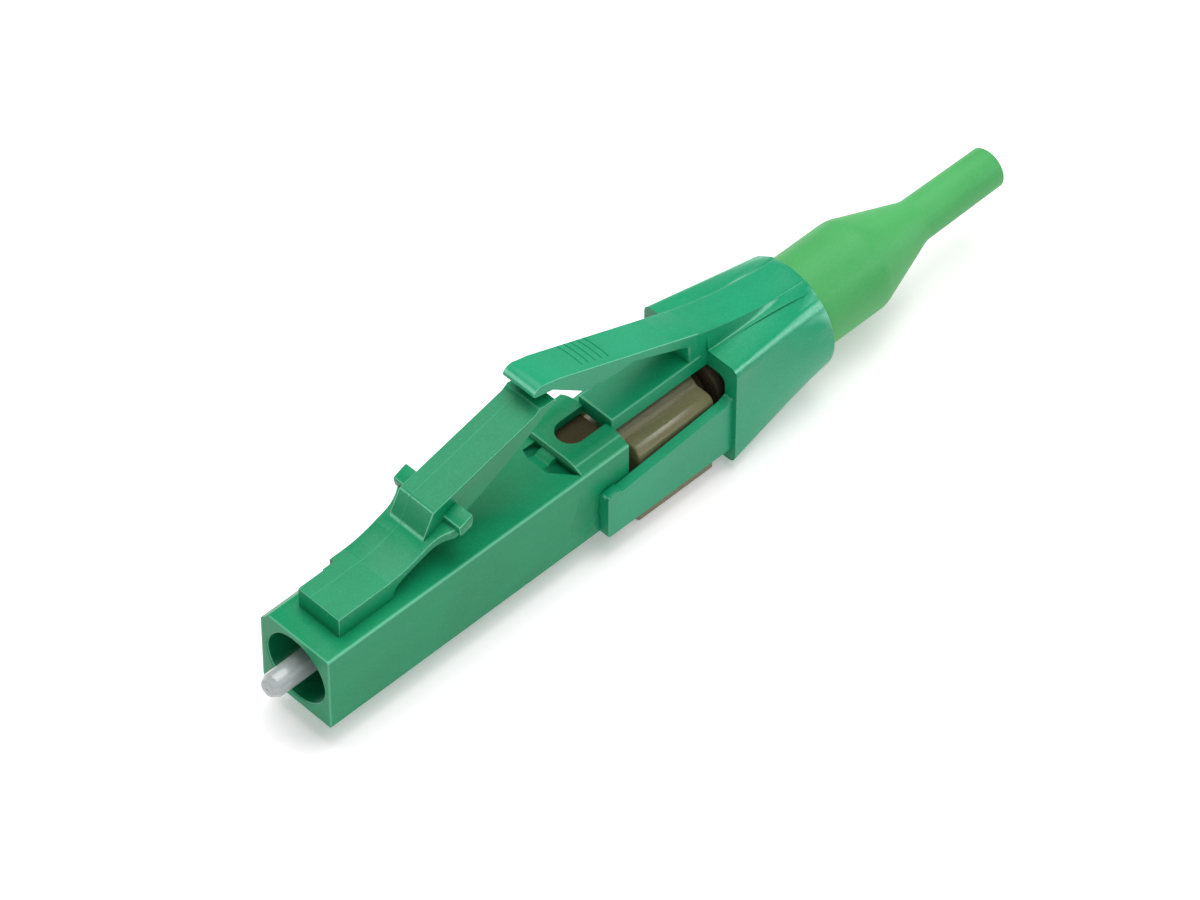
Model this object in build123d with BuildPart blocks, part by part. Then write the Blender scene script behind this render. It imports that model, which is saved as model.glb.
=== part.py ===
from build123d import *
import math
import os

# Sizes in millimetres. X runs back along the optical axis from the plug's front face,
# Z is up on the latch side, and the origin is the centre of the front face.

# plug body
BODY_W = 4.50
BODY_HALF = BODY_W / 2
BODY_LEN = 18.75
BODY_EDGE = 0.08
FAR_SLOPE = 0.58
CROWN_LEN = 2.90
CROWN_X = BODY_LEN - CROWN_LEN
CROWN_Z = 2.62
CROWN_FLAT = 1.10
CROWN_HIP = (1.66, 2.50)
FRONT_WALL = 0.40
FRONT_BORE_R = BODY_HALF - FRONT_WALL
FRONT_BORE_DEPTH = 3.40
MOUTH_EDGE = 0.10
SEAT_X = 4.00
SEAT_R = 1.25
MAIN_WALL = 0.45
MAIN_BORE_R = BODY_HALF - MAIN_WALL

# latch, its profile points measured from the pivot (back, up)
LATCH_HALF = 1.48
LATCH_PIVOT_X = 5.20
LATCH_PIVOT_Z = 3.24
LATCH_KNUCKLE_R = 0.20
ROOT_FRONT_X = 1.42
ROOT_TOP_Z = 3.40
ROOT_RISE = 0.04
ROOT_BACK = (-0.36, -0.44)
ROOT_HEEL = (-0.50, -0.90)
ROOT_STEP_X = (2.95, 3.60)
ROOT_STEP_Y = (1.16, 1.22)
RAMP_TOP_END = (3.82, 1.54)
RAMP_UNDER_END = (3.78, 0.81)
RAMP_UNDER_MID = (1.76, 0.37)
GUSSET_START = 1.75
GUSSET_END = 2.94
GUSSET_HALF = 1.88
GUSSET_RUN = GUSSET_END - GUSSET_START
GUSSET_RISE = GUSSET_HALF - LATCH_HALF
GUSSET_R = (GUSSET_RUN**2 + GUSSET_RISE**2) / (2 * GUSSET_RISE)
GUSSET_TURN = math.degrees(math.asin(GUSSET_RUN / GUSSET_R))
ARM_HALF = 1.125
HUMP_FOOT = (1.80, 1.08)
HUMP_BROW = (2.34, 2.12)
HUMP_TOP = (2.50, 2.22)
TAIL_SETBACK = 3.45
TAIL_RUN = BODY_LEN - TAIL_SETBACK - LATCH_PIVOT_X
TAIL_TOP = (TAIL_RUN - 1.35, 3.80)
RIDGE_TOP = (TAIL_RUN - 1.00, 4.07)
RIDGE_BACK = (TAIL_RUN - 0.82, 4.02)
LIP_TOP = (TAIL_RUN - 0.18, 3.98)
LIP_END = (TAIL_RUN, 3.80)
TAIL_UNDER = (TAIL_RUN - 0.60, 3.54)
ARM_UNDER_MID = (6.48, 1.71)
ARM_UNDER_FRONT = (4.00, 0.62)
HEEL_UNDER = (1.55, 0.56)
LUG_HALF = 2.20
LUG_TOE = (2.94, 1.54)
LUG_TOP = (3.78, 1.90)
LUG_BACK = (3.84, 1.48)
LUG_HEEL = (3.76, 1.12)
LUG_UNDER = (3.04, 0.96)
LUG_EDGE = 0.12

# shroud
COLLAR_SETBACK = 6.20
COLLAR_FRONT_X = BODY_LEN + COLLAR_SETBACK
COLLAR_LEN = 6.60
COLLAR_REAR_X = COLLAR_FRONT_X + COLLAR_LEN
COLLAR_W = 6.10
COLLAR_TOP_Z = 3.10
COLLAR_BOTTOM_Z = -3.20
COLLAR_CORNER_R = 0.45
COLLAR_REAR_R = 3.05
COLLAR_REAR_EDGE = 0.06
COLLAR_MOUTH_DEPTH = 3.2
COLLAR_MOUTH_TOP_Z = 2.15
COLLAR_MOUTH_CORNER_R = 0.50
SIDE_ARM_LEN = 8.05
SIDE_ARM_FRONT_X = COLLAR_FRONT_X - SIDE_ARM_LEN
SIDE_ARM_OUT_Y = 2.80
SIDE_ARM_TOP_Z = 0.40
SIDE_ARM_REAR_Z = 0.85
SIDE_ARM_BOTTOM_Z = -2.30
SIDE_ARM_EDGE = 0.12
SIDE_ARM_BLEND = 0.45
SIDE_FIT = 0.03
HEAD_LEN = 0.95
HEAD_NOTCH = 0.12
HOOK_IN = 0.20
HOOK_TOP_Z = 0.30
HOOK_BOTTOM_Z = -1.30
TONGUE_FIT = 0.03
TONGUE_HALF = 1.08
TONGUE_TOP_Z = 3.00
TONGUE_THICK = 0.85

# trigger, its profile points measured from the pivot (back, up)
TRIGGER_HALF = 1.02
TRIGGER_PIVOT_X = COLLAR_FRONT_X - 0.80
TRIGGER_PIVOT_Z = 4.32
TRIGGER_KNUCKLE_R = 0.30
FLEX_GAP = 0.04
TRIGGER_TOP_FRONT = (-8.60, 3.94)
TIP_CREST = (-9.50, 4.21)
TIP_BROW = (-9.92, 4.23)
TIP_NOSE = (-10.27, 3.88)
TIP_UNDER = (-10.10, 3.72)
FOOT_FRONT = (-9.01, 3.44)
FOOT_TOE = (-7.06, 1.88)
FOOT_SOLE = (-5.79, 1.58)
FOOT_HEEL = (-3.88, 1.46)
TRIGGER_UNDER = (-0.55, -0.14)
TRIGGER_ROOT_TOP = (0, 0.34)
TRIGGER_ROOT_UNDER = (0, -0.29)
RIDGE_MID = (3.25, -0.72)
ROOT_FACE_TOP = (-0.23, -0.30)
ROOT_FACE = (-0.35, -0.72)
ROOT_FACE_FOOT = (-0.30, -1.52)
ROOT_FLOOR = 1.85
ROOT_FLOOR_Z = 2.75
GRIP_FRONT = (-6.80, 3.19)
GRIP_SLOPE = 0.419
GRIP_TILT = math.degrees(math.atan(GRIP_SLOPE))
GRIP_PITCH = 0.42
GRIP_COUNT = 5
GRIP_DEPTH = 0.05
GRIP_WIDTH = 0.08
GRIP_LEN = 1.70

# scoop in each side of the body, ahead of the hooked heads
SCOOP_X = SIDE_ARM_FRONT_X - 0.95
SCOOP_TOP_Z = 1.55
SCOOP_WIDE_Z = -0.90
SCOOP_BOTTOM_Z = -2.15
SCOOP_BACK = 2.00
SCOOP_DEPTH = 0.27
SCOOP_WIDE_R = SCOOP_BACK + SCOOP_DEPTH

# pocket and notch in the body's top
POCKET_LEN = 0.97
POCKET_FRONT_X = CROWN_X - POCKET_LEN
POCKET_RIM = 0.06
POCKET_DEEP_Z = 1.92
POCKET_NEAR_Y = -2.00
POCKET_FRONT_NEAR_Y = -0.85
POCKET_FRONT_FAR_Y = 0.45
POCKET_FAR_Y = 0.95
POCKET_FAR_CUT = 0.18
POCKET_RAMP_HALF = 0.45
POCKET_RAMP_LEN = 0.66
NOTCH_LEN = 2.30
NOTCH_FRONT_X = BODY_LEN - NOTCH_LEN
NOTCH_HALF = 0.78
NOTCH_FLOOR_Z = 1.25
KEY_HALF = 0.92
KEY_TOP_Z = 2.10
KEY_FRONT_X = NOTCH_FRONT_X - 0.10
KEY_FIT = 0.05

# ferrule train
FERRULE_R = 0.625
FERRULE_TIP_X = -1.75
FERRULE_REAR_X = 4.90
FERRULE_CHAMFER = 0.35
FERRULE_TIP_R = 0.405
FERRULE_ANGLE = 8.0
FERRULE_ANGLE_CUT = 0.02
FERRULE_GROOVE_R = 0.46
FERRULE_GROOVE_X = (3.55, 4.35)
FIBRE_R = 0.0625
FIBRE_FIT = 0.004
FIBRE_BACK = 0.06
NOSE_FRONT_X = 3.45
NOSE_EDGE = 0.10
NOSE_R = 1.15
FLANGE_REAR_X = 5.30
FLANGE_FIT = 0.12
FLANGE_R = MAIN_BORE_R - FLANGE_FIT
BARREL_R = 1.10
BARREL_REAR_X = COLLAR_FRONT_X - 0.05
SPLICE_FRONT_X = 6.40
SPLICE_REAR_X = BODY_LEN + 2.85
SPLICE_R = 0.80
SPLICE_FIT = 0.03
SPLICE_END_FIT = 0.05
GROOVE = 0.07
HOLDER_THROAT_R = 0.20
KEEL_W = 0.50
KEEL_FRONT_X = 9.00
KEEL_REAR_X = BODY_LEN + 0.25
KEEL_TOP_Z = 1.06
KEEL_FIT = 0.06
LEAD_R = 0.81
LEAD_BORE_R = 0.49
LEAD_THROAT_R = 0.14
LEAD_FUNNEL_LEN = 1.6

# spring and its retainer
SPRING_WIRE_R = 0.14
SPRING_SIDES = 5
SPRING_MEAN_R = (BARREL_R + MAIN_BORE_R) / 2
SPRING_TURNS = 4
RETAINER_FRONT_X = 10.20
RETAINER_REAR_X = BODY_LEN - 0.15
RETAINER_FIT = 0.03
RETAINER_R = MAIN_BORE_R - RETAINER_FIT
RETAINER_LIP_R = 1.18
RETAINER_LIP_LEN = 0.80
RETAINER_WALL = 0.27
RETAINER_BORE_R = RETAINER_R - RETAINER_WALL

# cam
CAM_FRONT_X = RETAINER_FRONT_X + RETAINER_LIP_LEN + 0.80
CAM_FIT = 0.05
CAM_SLEEVE_R = RETAINER_BORE_R - CAM_FIT
CAM_BORE_R = BARREL_R + CAM_FIT
CAM_NECK_X = BODY_LEN + 0.10
CAM_NECK_R = 1.62
CAM_BLOCK_X = BODY_LEN + 0.70
CAM_REAR_X = COLLAR_FRONT_X - 0.61
CAM_SIDE_FIT = 0.07
CAM_HALF = BODY_HALF - CAM_SIDE_FIT
CAM_TOP_Z = 1.18
CAM_BOTTOM_Z = -3.75
CAM_TOP_R = 0.45
CAM_EDGE_R = 0.18
CAM_NOSE_CHAMFER = 0.15

# boot and crimp tube
CRIMP_FRONT_X = COLLAR_FRONT_X + 0.05
CRIMP_LEN = 8.00
CRIMP_REAR_X = CRIMP_FRONT_X + CRIMP_LEN
CRIMP_R = 1.20
CRIMP_BORE_R = 0.66
CRIMP_FLANGE_R = 1.90
CRIMP_FLANGE_LEN = 0.60
CRIMP_FIT = 0.02
BOOT_SETBACK = 2.05
BOOT_FRONT_LEN = 8.90
BOOT_CONE_LEN = 4.00
BOOT_TAIL_LEN = 5.30
BOOT_FRONT_X = COLLAR_FRONT_X + BOOT_SETBACK
BOOT_SHOULDER_X = BOOT_FRONT_X + BOOT_FRONT_LEN
BOOT_CONE_X = BOOT_SHOULDER_X + BOOT_CONE_LEN
BOOT_REAR_X = BOOT_CONE_X + BOOT_TAIL_LEN
BOOT_R = 2.475
BOOT_FIT = 0.07
BOOT_TAIL_R = 1.13
BOOT_END_R = 1.09
BOOT_BORE_R = 0.47
BOOT_BLEND_R = 1.6
BOOT_END_EDGE = 0.08

COLLAR_BORE_R = BOOT_R + BOOT_FIT
COLLAR_BORE_FRONT_X = COLLAR_FRONT_X + 1.90

SIDE = Plane.XZ
LATCH_SIDE = Plane(origin=(LATCH_PIVOT_X, 0, LATCH_PIVOT_Z), x_dir=(1, 0, 0), z_dir=(0, -1, 0))
TRIGGER_SIDE = Plane(origin=(TRIGGER_PIVOT_X, 0, TRIGGER_PIVOT_Z), x_dir=(1, 0, 0), z_dir=(0, -1, 0))


def off_axis_x(x):
    """A plane square to the optical axis, with its own x along -Y and its own y up."""
    return Plane(origin=(x, 0, 0), x_dir=(0, -1, 0), z_dir=(-1, 0, 0))


def half_disc(radius, upper):
    """A half disc on the current plane, above or below the axis."""
    with BuildSketch(mode=Mode.PRIVATE) as disc:
        Circle(radius)
        shift = radius if upper else -radius
        with Locations((0, shift)):
            Rectangle(4 * radius, 2 * radius, mode=Mode.INTERSECT)
    return disc.sketch


# plug body: square with one sloped far edge, bored through, with the latch's root block on top
with BuildPart() as housing:
    with BuildSketch(off_axis_x(0)) as section:
        Rectangle(BODY_W, BODY_W)
        far_top = vertices().sort_by(Axis.X)[:2].sort_by(Axis.Y)[-1]
        chamfer(far_top, FAR_SLOPE)
        near_corners = vertices().sort_by(Axis.X)[-2:]
        fillet(near_corners, BODY_EDGE)
        far_bottom = vertices().sort_by(Axis.Y)[:2].sort_by(Axis.X)[0]
        fillet(far_bottom, BODY_EDGE)
    extrude(amount=-CROWN_X)
    with BuildSketch(off_axis_x(CROWN_X)):
        Rectangle(BODY_W, BODY_W)
        fillet(vertices(), BODY_EDGE)
        with BuildLine():
            Polyline((CROWN_FLAT, CROWN_Z), (-CROWN_FLAT, CROWN_Z))
            ThreePointArc((-CROWN_FLAT, CROWN_Z), (-CROWN_HIP[0], CROWN_HIP[1]),
                          (-BODY_HALF + BODY_EDGE, BODY_HALF))
            Polyline((-BODY_HALF + BODY_EDGE, BODY_HALF), (-BODY_HALF + BODY_EDGE, 0),
                     (BODY_HALF - BODY_EDGE, 0), (BODY_HALF - BODY_EDGE, BODY_HALF))
            ThreePointArc((BODY_HALF - BODY_EDGE, BODY_HALF), CROWN_HIP, (CROWN_FLAT, CROWN_Z))
        make_face()
    extrude(amount=CROWN_X - BODY_LEN)

    # latch root block, set in at the front on the far side
    with BuildSketch(SIDE):
        with BuildLine():
            Polyline((ROOT_FRONT_X, BODY_HALF - FLEX_GAP), (ROOT_FRONT_X, ROOT_TOP_Z),
                     (LATCH_PIVOT_X, ROOT_TOP_Z + ROOT_RISE),
                     (LATCH_PIVOT_X, LATCH_PIVOT_Z - LATCH_KNUCKLE_R),
                     (LATCH_PIVOT_X + ROOT_BACK[0], LATCH_PIVOT_Z + ROOT_BACK[1]),
                     (LATCH_PIVOT_X + ROOT_HEEL[0], BODY_HALF - FLEX_GAP),
                     (ROOT_FRONT_X, BODY_HALF - FLEX_GAP))
        make_face()
    extrude(amount=LATCH_HALF, both=True)
    for step_x, step_y in zip(ROOT_STEP_X, ROOT_STEP_Y):
        with BuildSketch(Plane.XY.offset(BODY_HALF)):
            with Locations((0, step_y)):
                Rectangle(step_x, BODY_HALF, align=(Align.MIN, Align.MIN))
        extrude(amount=BODY_HALF, mode=Mode.SUBTRACT)
    with BuildSketch(SIDE):
        with Locations((LATCH_PIVOT_X, LATCH_PIVOT_Z)):
            Circle(LATCH_KNUCKLE_R + FLEX_GAP)
    extrude(amount=BODY_HALF, both=True, mode=Mode.SUBTRACT)

    # bore: open mouth, shoulder for the ferrule holder, spring and retainer bore
    with BuildSketch(SIDE):
        with BuildLine():
            Polyline((-MOUTH_EDGE, 0), (-MOUTH_EDGE, FRONT_BORE_R + 2 * MOUTH_EDGE), (MOUTH_EDGE, FRONT_BORE_R),
                     (FRONT_BORE_DEPTH, FRONT_BORE_R), (FRONT_BORE_DEPTH, SEAT_R), (SEAT_X, SEAT_R),
                     (SEAT_X, MAIN_BORE_R), (BODY_LEN + 1, MAIN_BORE_R), (BODY_LEN + 1, 0), (-MOUTH_EDGE, 0))
        make_face()
    revolve(axis=Axis.X, mode=Mode.SUBTRACT)

    # keyway and open notch over the retainer's key
    with BuildSketch(Plane.XY):
        with Locations((KEY_FRONT_X, 0)):
            Rectangle(BODY_LEN, 2 * KEY_HALF, align=(Align.MIN, Align.CENTER))
    extrude(amount=KEY_TOP_Z + SIDE_FIT, mode=Mode.SUBTRACT)
    with BuildSketch(Plane.XY.offset(NOTCH_FLOOR_Z)):
        with Locations((NOTCH_FRONT_X + NOTCH_HALF, 0)):
            Circle(NOTCH_HALF)
            Rectangle(BODY_LEN, 2 * NOTCH_HALF, align=(Align.MIN, Align.CENTER))
    extrude(amount=CROWN_Z, mode=Mode.SUBTRACT)

    # pocket ahead of the crown: floor falling back to the crown's front, with a ramp in the middle
    with BuildSketch(Plane.XY.offset(POCKET_DEEP_Z)):
        with BuildLine():
            Polyline((POCKET_FRONT_X, POCKET_FRONT_NEAR_Y), (CROWN_X, POCKET_NEAR_Y), (CROWN_X, POCKET_FAR_Y),
                     (POCKET_FRONT_X + POCKET_FAR_CUT, POCKET_FAR_Y), (POCKET_FRONT_X, POCKET_FRONT_FAR_Y),
                     (POCKET_FRONT_X, POCKET_FRONT_NEAR_Y))
        make_face()
    pocket = extrude(amount=CROWN_Z - POCKET_DEEP_Z, mode=Mode.PRIVATE)
    with BuildSketch(SIDE):
        with BuildLine():
            Polyline((POCKET_FRONT_X, POCKET_DEEP_Z), (POCKET_FRONT_X, BODY_HALF - POCKET_RIM),
                     (CROWN_X, POCKET_DEEP_Z), (POCKET_FRONT_X, POCKET_DEEP_Z))
        make_face()
    pocket -= extrude(amount=BODY_HALF, both=True, mode=Mode.PRIVATE)
    with BuildSketch(SIDE):
        with BuildLine():
            Polyline((CROWN_X - POCKET_RAMP_LEN, POCKET_DEEP_Z), (CROWN_X, CROWN_HIP[1]),
                     (CROWN_X, POCKET_DEEP_Z), (CROWN_X - POCKET_RAMP_LEN, POCKET_DEEP_Z))
        make_face()
    pocket -= extrude(amount=POCKET_RAMP_HALF, both=True, mode=Mode.PRIVATE)
    add(pocket, mode=Mode.SUBTRACT)

    # scoop in each side, and the recess behind it that takes the hook
    for side in (1, -1):
        with Locations((SCOOP_X, side * (BODY_HALF + SCOOP_BACK), 0)):
            with Locations((0, 0, SCOOP_WIDE_Z)):
                Cone(SCOOP_WIDE_R, SCOOP_BACK, SCOOP_TOP_Z - SCOOP_WIDE_Z,
                     align=(Align.CENTER, Align.CENTER, Align.MIN), mode=Mode.SUBTRACT)
            with Locations((0, 0, SCOOP_BOTTOM_Z)):
                Cone(SCOOP_BACK, SCOOP_WIDE_R, SCOOP_WIDE_Z - SCOOP_BOTTOM_Z,
                     align=(Align.CENTER, Align.CENTER, Align.MIN), mode=Mode.SUBTRACT)
        with Locations((SIDE_ARM_FRONT_X - SIDE_FIT, side * BODY_HALF, (HOOK_TOP_Z + HOOK_BOTTOM_Z) / 2)):
            Box(HEAD_LEN + 2 * SIDE_FIT, 2 * (HOOK_IN + SIDE_FIT), HOOK_TOP_Z - HOOK_BOTTOM_Z + 2 * SIDE_FIT,
                align=(Align.MIN, Align.CENTER, Align.CENTER), mode=Mode.SUBTRACT)
housing.part.label = "housing"

# sprung latch arm: thin root, gusseted ramp, two lugs, long arm and a curled tail
with BuildPart() as latch_lever:
    with BuildSketch(LATCH_SIDE):
        with BuildLine():
            Polyline((0, -LATCH_KNUCKLE_R), (0, LATCH_KNUCKLE_R), RAMP_TOP_END, RAMP_UNDER_END)
            ThreePointArc(RAMP_UNDER_END, RAMP_UNDER_MID, (0, -LATCH_KNUCKLE_R))
        make_face()
    extrude(amount=LUG_HALF, both=True)
    with BuildSketch(Plane.XY):
        for side in (1, -1):
            with BuildLine():
                Polyline((LATCH_PIVOT_X, 0), (LATCH_PIVOT_X, side * LATCH_HALF),
                         (LATCH_PIVOT_X + GUSSET_START, side * LATCH_HALF))
                JernArc((LATCH_PIVOT_X + GUSSET_START, side * LATCH_HALF), (1, 0), GUSSET_R, side * GUSSET_TURN)
                Polyline((LATCH_PIVOT_X + GUSSET_END, side * GUSSET_HALF),
                         (LATCH_PIVOT_X + RAMP_TOP_END[0], side * GUSSET_HALF),
                         (LATCH_PIVOT_X + RAMP_TOP_END[0], 0), (LATCH_PIVOT_X, 0))
            make_face()
    extrude(amount=2 * ROOT_TOP_Z, mode=Mode.INTERSECT)
    with BuildSketch(LATCH_SIDE):
        Circle(LATCH_KNUCKLE_R)
    extrude(amount=LATCH_HALF, both=True)
    with BuildSketch(LATCH_SIDE):
        with BuildLine():
            Polyline(HEEL_UNDER, HUMP_FOOT, HUMP_BROW, HUMP_TOP, TAIL_TOP, RIDGE_TOP, RIDGE_BACK,
                     LIP_TOP, LIP_END, TAIL_UNDER)
            ThreePointArc(TAIL_UNDER, ARM_UNDER_MID, ARM_UNDER_FRONT)
            Line(ARM_UNDER_FRONT, HEEL_UNDER)
        make_face()
    extrude(amount=ARM_HALF, both=True)
    with BuildSketch(LATCH_SIDE):
        with BuildLine():
            Polyline(LUG_TOE, LUG_TOP, LUG_BACK, LUG_HEEL, LUG_UNDER, LUG_TOE)
        make_face()
    extrude(amount=LUG_HALF, both=True)
    for lug_face in (LUG_HALF, -LUG_HALF):
        lug_ends = latch_lever.edges().filter_by(Axis.Y, reverse=True)
        fillet(lug_ends.filter_by_position(Axis.Y, lug_face, lug_face), LUG_EDGE)
latch_lever.part.label = "latch_lever"

# shroud: tapering collar, two hooked side arms, top tongue and the trigger's root
with BuildPart() as shroud:
    with BuildSketch(off_axis_x(COLLAR_FRONT_X)):
        with Locations((0, (COLLAR_TOP_Z + COLLAR_BOTTOM_Z) / 2)):
            RectangleRounded(COLLAR_W, COLLAR_TOP_Z - COLLAR_BOTTOM_Z, COLLAR_CORNER_R)
    with BuildSketch(off_axis_x(COLLAR_REAR_X)):
        Circle(COLLAR_REAR_R)
    loft(ruled=True)

    # trigger root and the low ridge that runs back from it to the rear rim
    ridge_end = (COLLAR_REAR_X - TRIGGER_PIVOT_X, COLLAR_REAR_R - TRIGGER_PIVOT_Z)
    with BuildSketch(TRIGGER_SIDE):
        with BuildLine():
            Polyline(ROOT_FACE_FOOT, ROOT_FACE, ROOT_FACE_TOP, TRIGGER_ROOT_UNDER, TRIGGER_ROOT_TOP)
            ThreePointArc(TRIGGER_ROOT_TOP, RIDGE_MID, ridge_end)
            Polyline(ridge_end, (ridge_end[0], ROOT_FLOOR_Z - TRIGGER_PIVOT_Z),
                     (ROOT_FLOOR, ROOT_FLOOR_Z - TRIGGER_PIVOT_Z), ROOT_FACE_FOOT)
        make_face()
    extrude(amount=TRIGGER_HALF, both=True)
    with BuildSketch(TRIGGER_SIDE):
        Circle(TRIGGER_KNUCKLE_R + FLEX_GAP)
    extrude(amount=BODY_HALF, both=True, mode=Mode.SUBTRACT)

    with BuildSketch(SIDE):
        with Locations((BODY_LEN + TONGUE_FIT, TONGUE_TOP_Z)):
            Rectangle(COLLAR_FRONT_X - BODY_LEN + COLLAR_CORNER_R, TONGUE_THICK, align=(Align.MIN, Align.MAX))
    extrude(amount=TONGUE_HALF, both=True)

    for side in (1, -1):
        with BuildSketch(SIDE.offset(-side * (BODY_HALF + SIDE_FIT))):
            with BuildLine():
                Polyline((SIDE_ARM_FRONT_X, SIDE_ARM_BOTTOM_Z + SIDE_ARM_EDGE),
                         (SIDE_ARM_FRONT_X, SIDE_ARM_TOP_Z - SIDE_ARM_EDGE),
                         (SIDE_ARM_FRONT_X + SIDE_ARM_EDGE, SIDE_ARM_TOP_Z),
                         (SIDE_ARM_FRONT_X + HEAD_LEN - HEAD_NOTCH, SIDE_ARM_TOP_Z),
                         (SIDE_ARM_FRONT_X + HEAD_LEN - HEAD_NOTCH, SIDE_ARM_TOP_Z - HEAD_NOTCH),
                         (SIDE_ARM_FRONT_X + HEAD_LEN, SIDE_ARM_TOP_Z - HEAD_NOTCH),
                         (COLLAR_FRONT_X - SIDE_ARM_BLEND, SIDE_ARM_REAR_Z),
                         (COLLAR_FRONT_X + SIDE_ARM_BLEND, SIDE_ARM_REAR_Z + SIDE_ARM_BLEND),
                         (COLLAR_FRONT_X + SIDE_ARM_BLEND, SIDE_ARM_BOTTOM_Z),
                         (SIDE_ARM_FRONT_X + SIDE_ARM_EDGE, SIDE_ARM_BOTTOM_Z),
                         (SIDE_ARM_FRONT_X, SIDE_ARM_BOTTOM_Z + SIDE_ARM_EDGE))
            make_face()
        extrude(amount=-side * (SIDE_ARM_OUT_Y - BODY_HALF - SIDE_FIT))
        with Locations((SIDE_ARM_FRONT_X, side * (BODY_HALF + SIDE_FIT), (HOOK_TOP_Z + HOOK_BOTTOM_Z) / 2)):
            Box(HEAD_LEN, 2 * (HOOK_IN + SIDE_FIT), HOOK_TOP_Z - HOOK_BOTTOM_Z,
                align=(Align.MIN, Align.CENTER, Align.CENTER))

    # mouth that takes the cam's rear end, then the bore round the boot
    with BuildSketch(off_axis_x(COLLAR_FRONT_X)):
        with Locations((0, (COLLAR_MOUTH_TOP_Z + SIDE_ARM_BOTTOM_Z) / 2)):
            RectangleRounded(2 * (BODY_HALF + SIDE_FIT), COLLAR_MOUTH_TOP_Z - SIDE_ARM_BOTTOM_Z,
                             COLLAR_MOUTH_CORNER_R)
    extrude(amount=-COLLAR_MOUTH_DEPTH, mode=Mode.SUBTRACT)
    with Locations((COLLAR_REAR_X, 0, 0)):
        Cylinder(COLLAR_BORE_R, COLLAR_REAR_X - COLLAR_BORE_FRONT_X, rotation=(0, -90, 0),
                 align=(Align.CENTER, Align.CENTER, Align.MIN), mode=Mode.SUBTRACT)
    rim = shroud.edges().filter_by_position(Axis.X, COLLAR_REAR_X, COLLAR_REAR_X)
    chamfer(rim, COLLAR_REAR_EDGE)
shroud.part.label = "shroud"

# thumb arm: rounded tip over the latch tail, deep foot, thin root, fine grip lines
with BuildPart() as trigger_arm:
    with BuildSketch(TRIGGER_SIDE):
        with BuildLine():
            Polyline(TIP_UNDER, TIP_NOSE)
            ThreePointArc(TIP_NOSE, TIP_BROW, TIP_CREST)
            Polyline(TIP_CREST, TRIGGER_TOP_FRONT, TRIGGER_ROOT_TOP, TRIGGER_ROOT_UNDER, TRIGGER_UNDER,
                     FOOT_HEEL)
            ThreePointArc(FOOT_HEEL, FOOT_SOLE, FOOT_TOE)
            Polyline(FOOT_TOE, FOOT_FRONT, TIP_UNDER)
        make_face()
    extrude(amount=TRIGGER_HALF, both=True)
    with BuildSketch(TRIGGER_SIDE):
        Circle(TRIGGER_KNUCKLE_R)
    extrude(amount=TRIGGER_HALF, both=True)
    for line in range(GRIP_COUNT):
        run = line * GRIP_PITCH
        spot = (TRIGGER_PIVOT_X + GRIP_FRONT[0] + run, 0, TRIGGER_PIVOT_Z + GRIP_FRONT[1] - run * GRIP_SLOPE)
        with Locations(Location(spot, (0, GRIP_TILT, 0))):
            Box(GRIP_WIDTH, GRIP_LEN, 2 * GRIP_DEPTH, mode=Mode.SUBTRACT)
trigger_arm.part.label = "trigger_arm"

# ceramic ferrule with its chamfered, angled tip, fibre bore and a groove the holder is moulded into
with BuildPart() as ferrule:
    with BuildSketch(SIDE):
        with BuildLine():
            Polyline((FERRULE_TIP_X, FIBRE_R + FIBRE_FIT), (FERRULE_TIP_X, FERRULE_TIP_R),
                     (FERRULE_TIP_X + FERRULE_CHAMFER, FERRULE_R), (FERRULE_GROOVE_X[0], FERRULE_R),
                     (FERRULE_GROOVE_X[0], FERRULE_GROOVE_R), (FERRULE_GROOVE_X[1], FERRULE_GROOVE_R),
                     (FERRULE_GROOVE_X[1], FERRULE_R), (FERRULE_REAR_X, FERRULE_R),
                     (FERRULE_REAR_X, FIBRE_R + FIBRE_FIT), (FERRULE_TIP_X, FIBRE_R + FIBRE_FIT))
        make_face()
    revolve(axis=Axis.X)
    tip_turn = math.radians(FERRULE_ANGLE)
    tip_plane = Plane(origin=(FERRULE_TIP_X + FERRULE_ANGLE_CUT, 0, 0),
                      z_dir=(-math.cos(tip_turn), 0, math.sin(tip_turn)))
    split(bisect_by=tip_plane, keep=Keep.BOTTOM)
ferrule.part.label = "ferrule"

# bare fibre set in the ferrule, running back into the splice
with BuildPart() as fibre_stub:
    with Locations((FERRULE_TIP_X + FIBRE_BACK, 0, 0)):
        Cylinder(FIBRE_R, (SPLICE_FRONT_X + SPLICE_REAR_X) / 2 - FERRULE_TIP_X, rotation=(0, 90, 0),
                 align=(Align.CENTER, Align.CENTER, Align.MIN))
fibre_stub.part.label = "fibre_stub"

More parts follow.
